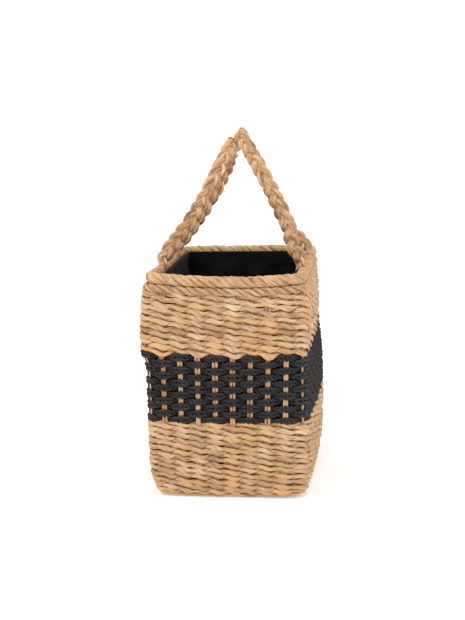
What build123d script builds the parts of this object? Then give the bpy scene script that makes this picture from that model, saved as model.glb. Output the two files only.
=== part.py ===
from build123d import *
from math import asin, atan2, cos, degrees, exp, hypot, pi, radians, sin
import os

# A rectangular market basket, in millimetres: +Z up, X across the width, Y along the
# length, origin on the floor under the middle. Courses of strands are woven round the
# walls and hold upright stakes between their outer and inner stretches. Two plaited
# handles hinge at the rim, and a loose cloth liner hangs inside.

# Body, outside
BODY_WIDTH = 220.0
BODY_LENGTH = 400.0
CORNER_RADIUS = 22.0
FOOT_CURL_IN = 7.0
FOOT_CURL_HEIGHT = 25.0
WALL_LEAN_IN = 6.0
BULGE_HEIGHT = 215.0
RIM_DRAW_IN = 7.0

# Stakes and strands
STAKE_WIDTH = 7.5
CORNER_STAKE_WIDTH = 4.0
STAKE_THICKNESS = 2.6
CORNER_STAKE_THICKNESS = 2.2
STAKE_FIT = 0.4
STRAND_THICKNESS = 4.2
STAKE_PITCH = 23.3
CORNER_STAKES = 1

# Courses, from the floor up
FOOT_HEIGHT = 9.2
LOWER_COURSES = 12
LOWER_PITCH = 7.6
BLACK_COURSES = 11
BLACK_PITCH = 8.2
BLACK_CORD_THICKNESS = 3.0
UPPER_COURSES = 10
UPPER_PITCH = 7.8
COURSE_GAP = 0.2

# Border
LOWER_ROLL_HEIGHT = 10.0
LOWER_ROLL_THICKNESS = 13.0
TOP_ROLL_HEIGHT = 15.0
TOP_ROLL_THICKNESS = 15.0
ROLL_ROUNDING = 4.5

# Base
BASE_WEFT_THICKNESS = 3.4
BASE_WEFT_PITCH = 7.7
BASE_WEFT_GAP = 0.8
LAYER_FIT = 0.2

# Liner
LINER_THICKNESS = 1.2
LINER_GAP = 4.2
LINER_DROP = 8.0
HEM_HEIGHT = 20.0
STITCH_LENGTH = 5.0
STITCH_THICKNESS = 0.8
STITCH_PITCH = 11.0

# Handles
HANDLE_LEG_LENGTH = 108.0
HANDLE_STRAND_RADIUS = 5.0
HANDLE_STRAND_FIT = 0.2
HANDLE_LEG_STAKES = 3.5
HANDLE_GAP = 0.3
ROOT_INSET = 4.0
ROOT_FIT = 0.3
KNUCKLE_RADIUS = 10.5
KNUCKLE_RISE = 0.5
KNUCKLE_WIDTH = 22.0
NECK_WIDTH = 14.0
NECK_HALF_THICKNESS = 3.6
SHOULDER_HEIGHT = 5.0
TAIL_LENGTH = 60.0

# Worked out from the sizes above
STAKE_DEPTH = STRAND_THICKNESS + STAKE_FIT
WALL_THICKNESS = 2 * STAKE_DEPTH + STAKE_THICKNESS
MID_DEPTH = WALL_THICKNESS / 2
LOWER_Z = FOOT_HEIGHT + COURSE_GAP
BLACK_Z = LOWER_Z + LOWER_COURSES * LOWER_PITCH
UPPER_Z = BLACK_Z + BLACK_COURSES * BLACK_PITCH
BORDER_Z = UPPER_Z + UPPER_COURSES * UPPER_PITCH
TOP_ROLL_Z = BORDER_Z + LOWER_ROLL_HEIGHT + COURSE_GAP
RIM_Z = TOP_ROLL_Z + TOP_ROLL_HEIGHT
LONG_STAKE_Z = BASE_WEFT_THICKNESS + LAYER_FIT
CROSS_STAKE_Z = LONG_STAKE_Z + STAKE_THICKNESS + LAYER_FIT
UPPER_WEFT_Z = CROSS_STAKE_Z + STAKE_THICKNESS + LAYER_FIT
LINER_Z = UPPER_WEFT_Z + BASE_WEFT_THICKNESS + LAYER_FIT
LINER_TOP = RIM_Z - LINER_DROP
LINER_DEPTH = max(TOP_ROLL_THICKNESS, LOWER_ROLL_THICKNESS, WALL_THICKNESS) + LINER_GAP
HEM_DEPTH = LINER_DEPTH + LINER_THICKNESS + LAYER_FIT
MID_RADIUS = CORNER_RADIUS - MID_DEPTH
STRAIGHT_X = BODY_WIDTH / 2 - CORNER_RADIUS
STRAIGHT_Y = BODY_LENGTH / 2 - CORNER_RADIUS
END_STAKES = 2 * round(STRAIGHT_X / STAKE_PITCH)
SIDE_STAKES = round(2 * STRAIGHT_Y / STAKE_PITCH)
CORNER_ARC = pi / 2 * MID_RADIUS
QUARTER = STRAIGHT_X + CORNER_ARC + STRAIGHT_Y
STAKES = 2 * (END_STAKES + SIDE_STAKES) + 4 * CORNER_STAKES
STAKE_SPACING = 4 * QUARTER / STAKES
HANDLE_STRAND_SIDE = HANDLE_STRAND_RADIUS + HANDLE_STRAND_FIT
HANDLE_STRAND_BACK = round(HANDLE_STRAND_SIDE / 3**0.5, 1)


def wall_curve(z):
    """How far the wall stands inside the widest course: curled in at the foot, leaning
    out up to the bulge, and drawn in again to the rim."""
    curl = FOOT_CURL_IN * exp(-z / FOOT_CURL_HEIGHT)
    lean = WALL_LEAN_IN * max(0.0, 1 - z / BULGE_HEIGHT)
    rim = RIM_DRAW_IN * (max(0.0, z - BULGE_HEIGHT) / (RIM_Z - BULGE_HEIGHT)) ** 2
    return curl + lean + rim


WALL_SHARES = (0, 0.03, 0.07, 0.12, 0.19, 0.28, 0.4, 0.55, 0.73, 0.82, 0.9, 0.95, 1)
WALL_LEVELS = [RIM_Z * share for share in WALL_SHARES]


def inset(z):
    """The wall curve as straight runs between the wall levels."""
    for low, high in zip(WALL_LEVELS, WALL_LEVELS[1:]):
        if z <= high:
            share = (z - low) / (high - low)
            return wall_curve(low) * (1 - share) + wall_curve(high) * share
    return wall_curve(RIM_Z)


def corner_radius(depth):
    """The rounding this far in from the outside of the wall, down to a small last one."""
    return max(CORNER_RADIUS - depth, LAYER_FIT)


def outline(z, depth):
    """The rounded rectangle at height z, this far in from the outside of the wall."""
    shrink = inset(z) + depth
    shape = RectangleRounded(
        BODY_WIDTH - 2 * shrink,
        BODY_LENGTH - 2 * shrink,
        corner_radius(depth),
    )
    return Pos(0, 0, z) * shape


def sleeve(levels, depth, thickness):
    """A closed band round the basket through the given levels."""
    outer = loft([outline(z, depth) for z in levels], ruled=True)
    inner = loft([outline(z, depth + thickness) for z in levels], ruled=True)
    return outer - inner


def course_solids(z, pitch):
    """A natural course of two strands, one drawn outside the stakes and one inside."""
    levels = (z, z + pitch - COURSE_GAP)
    return [
        sleeve(levels, 0, STRAND_THICKNESS),
        sleeve(levels, WALL_THICKNESS - STRAND_THICKNESS, STRAND_THICKNESS),
    ]


def wall_point(s, side, z):
    """The point at distance s round the middle of the wall from the middle of the near
    end, moved out by side. The straight walls shorten with the wall's inset, and the
    corner arcs keep their radius, so that stakes close up towards the foot."""
    quarter, rest = divmod(s % (4 * QUARTER), QUARTER)
    run = QUARTER - rest if quarter % 2 else rest
    corner_x = STRAIGHT_X - inset(z)
    corner_y = STRAIGHT_Y - inset(z)
    if run < STRAIGHT_X:
        x, y, turn = run * corner_x / STRAIGHT_X, corner_y + MID_RADIUS + side, 90.0
    elif run < STRAIGHT_X + CORNER_ARC:
        turn = 90 - degrees((run - STRAIGHT_X) / MID_RADIUS)
        x = corner_x + (MID_RADIUS + side) * cos(radians(turn))
        y = corner_y + (MID_RADIUS + side) * sin(radians(turn))
    else:
        x, y = corner_x + MID_RADIUS + side, (QUARTER - run) * corner_y / STRAIGHT_Y
        turn = 0.0
    across = -1 if quarter in (2, 3) else 1
    along = -1 if quarter in (0, 3) else 1
    return across * x, along * y, degrees(atan2(along * sin(radians(turn)), across * cos(radians(turn))))


def black_course(number):
    """One cord woven over a stake and under the next, starting on the other face each row."""
    z = BLACK_Z + number * BLACK_PITCH
    height = BLACK_PITCH - COURSE_GAP
    swing = STAKE_THICKNESS / 2 + STAKE_FIT + BLACK_CORD_THICKNESS / 2
    flat = STAKE_WIDTH / 2 + STAKE_FIT
    outer, inner = [], []
    for i in range(STAKES):
        side = swing if (i + number) % 2 else -swing
        at = (i + 0.5) * STAKE_SPACING
        over = ((at - flat, side), (at, side), (at + flat, side), (at + STAKE_SPACING / 2, 0))
        for s, offset in over:
            outer.append(wall_point(s, offset + BLACK_CORD_THICKNESS / 2, z + height / 2)[:2])
            inner.append(wall_point(s, offset - BLACK_CORD_THICKNESS / 2, z + height / 2)[:2])
    face = make_face(Polyline(*outer, close=True)) - make_face(Polyline(*inner, close=True))
    return extrude(Pos(0, 0, z) * face, height, dir=(0, 0, 1))


STAKE_TOP = BORDER_Z - COURSE_GAP


def riser(s, low, top, width, thickness):
    """A strip lofted up the middle of the wall from one height to another."""
    levels = [low, *[z for z in WALL_LEVELS if low < z < top], top]
    sections = []
    for z in levels:
        x, y, turn = wall_point(s, 0, z)
        sections.append(Pos(x, y, z) * Rot(0, 0, turn) * Rectangle(thickness, width))
    return loft(sections, ruled=True)


def bent_stake(s, low, along_y):
    """A stake up one wall, under the base and up the other wall."""
    x, y, turn = wall_point(s, 0, low)
    reach = STAKE_THICKNESS / 2
    middle = low + STAKE_THICKNESS / 2
    if along_y:
        run = Pos(x, 0, middle) * Box(STAKE_WIDTH, 2 * (abs(y) + reach), STAKE_THICKNESS)
        other = 2 * QUARTER - s
    else:
        run = Pos(0, y, middle) * Box(2 * (abs(x) + reach), STAKE_WIDTH, STAKE_THICKNESS)
        other = -s
    for place in (s, other):
        run += riser(place, low, STAKE_TOP, STAKE_WIDTH, STAKE_THICKNESS)
    return run


def stake_places(count, middle):
    return [middle + (i - (count - 1) / 2) * STAKE_SPACING for i in range(count)]


def base_weft(z, depth):
    """One strand laid to and fro across the base, joined at alternate ends, each run as
    long as the rounded corners leave room for."""
    half_x = BODY_WIDTH / 2 - depth
    half_y = BODY_LENGTH / 2 - depth
    radius = CORNER_RADIUS - STRAND_THICKNESS
    rows = int(2 * half_y // BASE_WEFT_PITCH)
    strand = BASE_WEFT_PITCH - BASE_WEFT_GAP
    middle = z + BASE_WEFT_THICKNESS / 2
    solid = None
    last_reach = 0.0
    for row in range(rows):
        y = (row + 0.5 - rows / 2) * BASE_WEFT_PITCH
        into_corner = max(0.0, abs(y) + strand / 2 - half_y + radius)
        reach = half_x - radius + (radius**2 - into_corner**2) ** 0.5
        run = Pos(0, y, middle) * Box(2 * reach, strand, BASE_WEFT_THICKNESS)
        if row:
            side = 1 if row % 2 else -1
            end = side * (min(reach, last_reach) - strand / 2)
            turn = Box(strand, BASE_WEFT_PITCH, BASE_WEFT_THICKNESS)
            run += Pos(end, y - BASE_WEFT_PITCH / 2, middle) * turn
        solid = solid + run if solid else run
        last_reach = reach
    return solid


PIVOT_X = BODY_WIDTH / 2 - inset(RIM_Z) - STAKE_DEPTH - STAKE_THICKNESS / 2 - ROOT_INSET
PIVOT_Z = RIM_Z + KNUCKLE_RISE + KNUCKLE_RADIUS
LEG_PLACE = round(STAKES / 4 + HANDLE_LEG_STAKES) * STAKE_SPACING
LEG_Y = wall_point(LEG_PLACE, 0, BORDER_Z)[1]
CROWN_T = HANDLE_LEG_LENGTH + LEG_Y
STRANDS = {
    "a": (-HANDLE_STRAND_SIDE, -HANDLE_STRAND_BACK),
    "b": (HANDLE_STRAND_SIDE, -HANDLE_STRAND_BACK),
    "c": (0.0, 2 * HANDLE_STRAND_BACK),
}


def handle_lean():
    """The lean, in degrees, at which the two handles all but touch at the crown."""
    reach = PIVOT_X - HANDLE_STRAND_RADIUS - HANDLE_GAP / 2
    leans = []
    for side, back in STRANDS.values():
        rise = CROWN_T + back
        leans.append(asin(reach / hypot(rise, side)) - atan2(abs(side), rise))
    return degrees(min(leans))


LEAN = handle_lean()


TAIL_X = BODY_WIDTH / 2 - inset(BORDER_Z) - STAKE_DEPTH


def root_block(fit):
    """The neck under one leg of the right handle, and the shoulder that joins it to the
    tail in the wall, grown by the fit all round."""
    width = NECK_WIDTH + 2 * fit
    low = PIVOT_X - NECK_HALF_THICKNESS - fit
    neck_height = PIVOT_Z - BORDER_Z + fit
    neck = Box(2 * (NECK_HALF_THICKNESS + fit), width, neck_height)
    neck = Pos(PIVOT_X, LEG_Y, PIVOT_Z - neck_height / 2) * neck
    shoulder_length = TAIL_X + fit - low
    shoulder_height = SHOULDER_HEIGHT + 2 * fit
    shoulder = Box(shoulder_length, width, shoulder_height)
    shoulder_z = BORDER_Z - fit + shoulder_height / 2
    return neck + Pos(low + shoulder_length / 2, LEG_Y, shoulder_z) * shoulder


def handle_roots():
    """Where a handle's strands go down into the wall at its two legs: a bend over the
    rim, a neck through the border, and a flat tail between the strands of the wall."""
    knuckle = Cylinder(KNUCKLE_RADIUS, KNUCKLE_WIDTH, rotation=(90, 0, 0))
    tail = riser(LEG_PLACE, BORDER_Z - TAIL_LENGTH, BORDER_Z, NECK_WIDTH, STAKE_THICKNESS)
    root = root_block(0) + Pos(PIVOT_X, LEG_Y, PIVOT_Z) * knuckle + tail
    return [root, mirror(root, about=Plane.XZ)]


def border_pockets():
    """The room that the necks need through the border, on all four legs."""
    room = root_block(ROOT_FIT)
    pair = room + mirror(room, about=Plane.XZ)
    return pair + mirror(pair, about=Plane.YZ)


def handle_strand(side, back):
    """One strand of the right handle, leaning in: up a leg, over the crown and down."""
    radius = LEG_Y + back
    low = (-radius, 0)
    left = (-radius, HANDLE_LEG_LENGTH)
    top = (0, HANDLE_LEG_LENGTH + radius)
    right = (radius, HANDLE_LEG_LENGTH)
    plane = Plane(origin=(side, 0, 0), x_dir=(0, 1, 0), z_dir=(1, 0, 0))
    corners = [plane.from_local_coords(Vector(*p)) for p in (low, left, top, right)]
    end = plane.from_local_coords(Vector(radius, 0))
    path = Wire([
        Edge.make_line(corners[0], corners[1]),
        Edge.make_three_point_arc(corners[1], corners[2], corners[3]),
        Edge.make_line(corners[3], end),
    ])
    foot = Plane(origin=corners[0], z_dir=(0, 0, 1)) * Circle(HANDLE_STRAND_RADIUS)
    tube = sweep(foot, path=path)
    room = Cylinder(KNUCKLE_RADIUS + ROOT_FIT, 4 * LEG_Y, rotation=(90, 0, 0))
    return Pos(PIVOT_X, 0, PIVOT_Z) * Rot(0, -LEAN, 0) * (tube - room)


def liner_levels(low, high):
    return [low, *[z for z in WALL_LEVELS if low < z < high], high]


def liner_base():
    shrink = inset(LINER_Z) + LINER_DEPTH + LINER_THICKNESS + LAYER_FIT
    size = RectangleRounded(
        BODY_WIDTH - 2 * shrink,
        BODY_LENGTH - 2 * shrink,
        corner_radius(LINER_DEPTH + LINER_THICKNESS),
    )
    return extrude(Pos(0, 0, LINER_Z) * size, LINER_THICKNESS)


def liner_stitches():
    """A row of thread bars on the hem, along the four straight walls."""
    z = LINER_TOP - HEM_HEIGHT / 2
    depth = inset(z) + HEM_DEPTH + LINER_THICKNESS + LAYER_FIT + STITCH_THICKNESS / 2
    bars = []
    for half, straight, along_y in (
        (BODY_WIDTH / 2 - depth, STRAIGHT_Y - inset(z), True),
        (BODY_LENGTH / 2 - depth, STRAIGHT_X - inset(z), False),
    ):
        count = int(2 * straight // STITCH_PITCH)
        for i in range(count):
            at = (i - (count - 1) / 2) * STITCH_PITCH
            for side in (-1, 1):
                if along_y:
                    bar = Box(STITCH_THICKNESS, STITCH_LENGTH, STITCH_THICKNESS)
                    bars.append(Pos(side * half, at, z) * bar)
                else:
                    bar = Box(STITCH_LENGTH, STITCH_THICKNESS, STITCH_THICKNESS)
                    bars.append(Pos(at, side * half, z) * bar)
    return bars


def write(name, shapes):
    """One file for a named piece, which may be several separate solids."""
    solids = [solid for shape in shapes for solid in shape.solids()]
    whole = solids[0] if len(solids) == 1 else Compound(children=solids)
    export_step(whole, f"parts/{name}.step")


def build():
    os.makedirs("parts", exist_ok=True)
    write("foot_course", [sleeve((0, FOOT_HEIGHT), 0, STRAND_THICKNESS)])
    for i in range(LOWER_COURSES):
        solids = course_solids(LOWER_Z + i * LOWER_PITCH, LOWER_PITCH)
        write(f"natural_lower_course_{i + 1:02d}", solids)
    for i in range(BLACK_COURSES):
        write(f"black_course_{i + 1:02d}", [black_course(i)])
    for i in range(UPPER_COURSES):
        solids = course_solids(UPPER_Z + i * UPPER_PITCH, UPPER_PITCH)
        write(f"natural_upper_course_{i + 1:02d}", solids)

    pockets = border_pockets()
    lower = sleeve((BORDER_Z, BORDER_Z + LOWER_ROLL_HEIGHT), 0, LOWER_ROLL_THICKNESS)
    write("border_lower_roll", [lower - pockets])
    top = sleeve((TOP_ROLL_Z, RIM_Z), 0, TOP_ROLL_THICKNESS)
    top = fillet(top.edges().group_by(Axis.Z)[-1], ROLL_ROUNDING)
    write("border_top_roll", [top - pockets])

    ends = stake_places(END_STAKES, 0)
    sides = stake_places(SIDE_STAKES, QUARTER)
    write("long_stakes", [bent_stake(s, LONG_STAKE_Z, True) for s in ends])
    write("cross_stakes", [bent_stake(s, CROSS_STAKE_Z, False) for s in sides])
    first = (END_STAKES / 2 + 0.5) * STAKE_SPACING
    around = (first, 2 * QUARTER - first, 2 * QUARTER + first, 4 * QUARTER - first)
    write("corner_stakes", [
        riser(s, LONG_STAKE_Z, STAKE_TOP, CORNER_STAKE_WIDTH, CORNER_STAKE_THICKNESS)
        for s in around
    ])

    under = inset(0) + STAKE_DEPTH
    over = inset(UPPER_WEFT_Z) + WALL_THICKNESS + STAKE_FIT
    write("base_weft_under", [base_weft(0, under)])
    write("base_weft_over", [base_weft(UPPER_WEFT_Z, over)])

    side_levels = liner_levels(LINER_Z, LINER_TOP)
    write("liner_side", [sleeve(side_levels, LINER_DEPTH, LINER_THICKNESS)])
    write("liner_base", [liner_base()])
    hem_levels = liner_levels(LINER_TOP - HEM_HEIGHT, LINER_TOP)
    write("liner_hem", [sleeve(hem_levels, HEM_DEPTH, LINER_THICKNESS)])
    write("liner_stitches", liner_stitches())

    roots = handle_roots()
    write("right_handle_roots", roots)
    write("left_handle_roots", [mirror(root, about=Plane.YZ) for root in roots])
    for name, (side, back) in STRANDS.items():
        strand = handle_strand(side, back)
        write(f"right_handle_strand_{name}", [strand])
        write(f"left_handle_strand_{name}", [mirror(strand, about=Plane.YZ)])

    print("rim", round(RIM_Z, 2), "spacing", round(STAKE_SPACING, 3), "lean", round(LEAN, 2))
    print("pivot", round(PIVOT_X, 3), round(PIVOT_Z, 3), "leg", round(LEG_Y, 3))
    print("crown reach", round(CROWN_T, 2))


build()
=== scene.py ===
import math

import bpy
import numpy as np
from mathutils import Matrix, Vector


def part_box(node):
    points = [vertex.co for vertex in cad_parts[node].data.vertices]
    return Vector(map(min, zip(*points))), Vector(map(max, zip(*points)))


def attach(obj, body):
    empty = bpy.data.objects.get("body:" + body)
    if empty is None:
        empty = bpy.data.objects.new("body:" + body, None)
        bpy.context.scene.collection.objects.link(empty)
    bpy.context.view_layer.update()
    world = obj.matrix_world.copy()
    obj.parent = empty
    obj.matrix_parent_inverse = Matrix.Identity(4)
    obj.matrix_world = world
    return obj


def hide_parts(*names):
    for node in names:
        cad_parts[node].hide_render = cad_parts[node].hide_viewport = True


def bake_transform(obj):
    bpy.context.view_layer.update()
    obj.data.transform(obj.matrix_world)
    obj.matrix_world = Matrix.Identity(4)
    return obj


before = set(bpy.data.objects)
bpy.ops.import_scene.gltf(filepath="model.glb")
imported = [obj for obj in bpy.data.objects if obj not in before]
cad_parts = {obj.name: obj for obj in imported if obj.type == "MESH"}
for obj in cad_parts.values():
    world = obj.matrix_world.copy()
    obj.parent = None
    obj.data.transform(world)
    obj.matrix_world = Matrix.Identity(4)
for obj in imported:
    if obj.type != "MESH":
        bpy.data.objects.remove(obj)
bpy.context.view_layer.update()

# ---------------------------------------------------------------- room, light and camera
# A pale floor that meets a pale backdrop, three large soft lights and a bright even sky,
# as in a product studio. The camera looks at a short end from a little right and above.
EYE_SIDE = math.radians(5.0)
EYE_RISE = math.radians(7.8)
EYE_DISTANCE = 2.47
AIM = np.array([-0.0055, 0.0, 0.2231])
LENS = 102.4
SKY_STRENGTH = 1.06
FLOOR_HALF = 9
FLOOR_GREY = 0.80
FLOOR_GLOW = 0.30


def look(obj, place, target):
    """Turn an object at place so that its -Z points at the target and its Y points up."""
    back = np.subtract(place, target)
    back = back / np.linalg.norm(back)
    right = np.cross([0, 0, 1], back)
    right = right / np.linalg.norm(right)
    turn = np.eye(4)
    turn[:3, 0], turn[:3, 1], turn[:3, 2], turn[:3, 3] = right, np.cross(back, right), back, place
    obj.matrix_world = Matrix(turn.tolist())


eye = AIM + EYE_DISTANCE * np.array([
    math.sin(EYE_SIDE) * math.cos(EYE_RISE),
    -math.cos(EYE_SIDE) * math.cos(EYE_RISE),
    math.sin(EYE_RISE),
])
camera = bpy.data.objects.new("camera", bpy.data.cameras.new("camera"))
camera.data.lens = LENS
camera.data.clip_end = 50
bpy.context.collection.objects.link(camera)
look(camera, eye, AIM)
bpy.context.scene.camera = camera


def soft_light(name, place, width, power):
    """A square area light of this width, in metres, pointed at the basket."""
    lamp = bpy.data.lights.new(name, "AREA")
    lamp.size = width
    lamp.energy = power
    obj = bpy.data.objects.new(name, lamp)
    bpy.context.collection.objects.link(obj)
    look(obj, place, (0, 0, 0.2))


soft_light("key_light", (-1.3, -1.7, 2.2), 1.2, 24)
soft_light("fill_light", (1.9, -1.3, 1.2), 1.5, 6)
soft_light("top_light", (0.2, 0.6, 2.4), 1.6, 10)

world = bpy.data.worlds.new("studio")
world.use_nodes = True
sky = world.node_tree.nodes["Background"].inputs
sky["Color"].default_value = (1, 1, 1, 1)
sky["Strength"].default_value = SKY_STRENGTH
bpy.context.scene.world = world
bpy.context.scene.view_settings.view_transform = "Standard"

floor_mesh = bpy.data.meshes.new("floor")
floor_signs = ((-1, -1), (1, -1), (1, 1), (-1, 1))
floor_corners = [(FLOOR_HALF * x, FLOOR_HALF * y, 0) for x, y in floor_signs]
floor_mesh.from_pydata(floor_corners, [], [(0, 1, 2, 3)])
floor = bpy.data.objects.new("floor", floor_mesh)
bpy.context.collection.objects.link(floor)
pale = bpy.data.materials.new("pale_floor")
pale.use_nodes = True
pale_surface = pale.node_tree.nodes["Principled BSDF"].inputs
pale_surface["Base Color"].default_value = (FLOOR_GREY, FLOOR_GREY, FLOOR_GREY, 1)
pale_surface["Roughness"].default_value = 0.9
pale_surface["Emission Color"].default_value = (1, 1, 1, 1)
pale_surface["Emission Strength"].default_value = FLOOR_GLOW
floor_mesh.materials.append(pale)

# ---------------------------------------------------------------- natural woven courses
# Each course is two seagrass strands woven plain round the upright stakes: where one
# passes outside a stake the other passes inside. Packed down, each front stretch swells
# into a slanting lens, and neighbours sit like bricks.
LOWER = [f"natural_lower_course_{i + 1:02d}" for i in range(12)]
BLACK = [f"black_course_{i + 1:02d}" for i in range(11)]
UPPER = [f"natural_upper_course_{i + 1:02d}" for i in range(10)]
STAKES = 50
CORNER = 0.022
WALL = 0.0118
MID = WALL / 2

# The outer face of the wall at the height of each course, from the CAD boxes.
profile_z, profile_x, profile_y = [], [], []
for node in ["foot_course", *LOWER, *UPPER, "border_lower_roll", "border_top_roll"]:
    low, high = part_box(node)
    profile_z.append((low[2] + high[2]) / 2)
    profile_x.append(high[0])
    profile_y.append(high[1])
WIDEST_X = max(profile_x)
WIDEST_Y = max(profile_y)
RIM_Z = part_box("border_top_roll")[1][2]
STRAIGHT_X = WIDEST_X - CORNER
STRAIGHT_Y = WIDEST_Y - CORNER
BEND = CORNER - MID
QUARTER = STRAIGHT_X + BEND * math.pi / 2 + STRAIGHT_Y
SPACING = 4 * QUARTER / STAKES
STRAND_HALF_THICK = 0.0021
STRAND_SWING = 0.0034
STRAND_FALL = 0.0016
STRAND_TURN = 0.036
FIRST_ROW_DIP = 0.0024
OWN_SWELL, OWN_LIFT, OWN_OUT = 0.12, 0.00065, 0.00035
WANDER_UP, WANDER_OUT = 0.0008, 0.0003

# How far the walls, foot and rim leave the even box, and over which heights.
LEFT_STEP, STEP_TOP, STEP_FADE = 0.0068, 0.192, 0.026
LEFT_BRIM, BRIM_LOW, BRIM_HIGH, BRIM_FADE = 0.0045, 0.262, 0.33, 0.030
LEFT_TOE, TOE_TOP, LEFT_OUT = 0.0070, 0.032, 0.0030
RIGHT_FOOT, FOOT_TOP, FOOT_FADE = 0.0070, 0.19, 0.14
RIGHT_SPLAY, SPLAY_TOP, SPLAY_FADE = 0.0035, 0.065, 0.05
FAR_BELLY, MID_BELLY, BELLY_TOP, BELLY_FADE = 0.0060, 0.0035, 0.21, 0.07
CURL, CURL_TOP = 0.0052, 0.075
NEAR_RISE, NEAR_DIP, FAR_RISE, FAR_CLIMB = 0.0075, 0.0022, 0.0018, 0.0024


def smooth(t):
    """A smooth step from 0 to 1: three times t squared less twice t cubed, t held in 0 to 1."""
    t = np.clip(t, 0, 1)
    return t * t * (3 - 2 * t)


def settle(points):
    """The hand-made unevenness of the whole basket: each move is a smooth step of the height
    times a power of u or v, the shares of the half width and half length. The left wall
    steps in below the top of the black band, at the rim and at the toe. The right wall
    spreads to the foot and bellies. The corners of the foot curl up. The near rim dips in
    the middle and rises to its corners; the far rim stands higher and climbs to the right."""
    x, y, z = points[..., 0], points[..., 1], points[..., 2]
    u, v = x / WIDEST_X, y / WIDEST_Y
    left = np.clip(-u, 0, 1) ** 3
    right = np.clip(u, 0, 1) ** 3
    step = smooth((STEP_TOP - z) / STEP_FADE)
    brim = smooth((z - BRIM_LOW) / BRIM_FADE) * smooth((BRIM_HIGH - z) / BRIM_FADE)
    foot = RIGHT_FOOT * smooth((FOOT_TOP - z) / FOOT_FADE)
    foot = foot + RIGHT_SPLAY * smooth((SPLAY_TOP - z) / SPLAY_FADE)
    toe = LEFT_TOE * smooth((TOE_TOP - z) / TOE_TOP)
    belly = FAR_BELLY * smooth((v + 1) / 2) + MID_BELLY * (1 - v * v)
    belly = belly * smooth((BELLY_TOP - z) / BELLY_FADE)
    inward = LEFT_STEP * step + LEFT_BRIM * brim + toe - LEFT_OUT
    x = x + left * inward + right * (foot + belly)
    low = smooth(1 - z / CURL_TOP)
    corner = 1.2 * u * u * np.abs(v) ** 3
    rim = smooth(z / RIM_Z) * smooth(2 - z / RIM_Z)
    near, far = np.clip(-v, 0, 1) ** 3, np.clip(v, 0, 1) ** 3
    lift = near * (NEAR_RISE * u * u - NEAR_DIP) + far * (FAR_RISE + FAR_CLIMB * u)
    return np.stack([x, y, z + CURL * low * corner + lift * rim], -1)


def wall_point(place, height, depth):
    """Points and outward directions on the wall. place counts stakes round from the middle
    of the near end, height is z, and depth is inwards from the face: a straight end, a
    corner arc and a long wall, mirrored into four quarters."""
    place, height, depth = np.broadcast_arrays(place, height, depth)
    around = np.mod(place * SPACING, 4 * QUARTER)
    quarter = np.floor(around / QUARTER).astype(int) % 4
    rest = around - np.floor(around / QUARTER) * QUARTER
    run = np.where(quarter % 2 == 1, QUARTER - rest, rest)
    pull = WIDEST_X - np.interp(height, profile_z, profile_x)
    corner_x, corner_y = STRAIGHT_X - pull, STRAIGHT_Y - pull
    turn = np.clip((run - STRAIGHT_X) / BEND, 0, math.pi / 2)
    reach = CORNER - depth
    x = np.where(run < STRAIGHT_X, run * corner_x / STRAIGHT_X, corner_x) + reach * np.sin(turn)
    late = run > QUARTER - STRAIGHT_Y
    y = np.where(late, (QUARTER - run) * corner_y / STRAIGHT_Y, corner_y) + reach * np.cos(turn)
    across = np.where((quarter == 2) | (quarter == 3), -1.0, 1.0)
    along = np.where((quarter == 0) | (quarter == 3), -1.0, 1.0)
    points = np.stack([across * x, along * y, height], -1)
    out = np.stack([across * np.sin(turn), along * np.cos(turn), 0 * turn], -1)
    return points, out


def drift(count, waves, seed):
    """A smooth closed random line between about -1 and 1: a few sine waves of random size
    and phase round the ring, worked out as one array."""
    rng = np.random.default_rng(seed)
    t = np.arange(count) / count * 2 * np.pi
    k = np.arange(1, waves + 1)[:, None]
    size = rng.normal(0, 1, (waves, 1))
    phase = rng.uniform(0, 2 * np.pi, (waves, 1))
    return (size * np.sin(k * t + phase)).sum(0) / math.sqrt(waves)


def unit(v):
    """Vectors divided by their own length."""
    return v / np.maximum(np.linalg.norm(v, axis=-1, keepdims=True), 1e-12)


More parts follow.
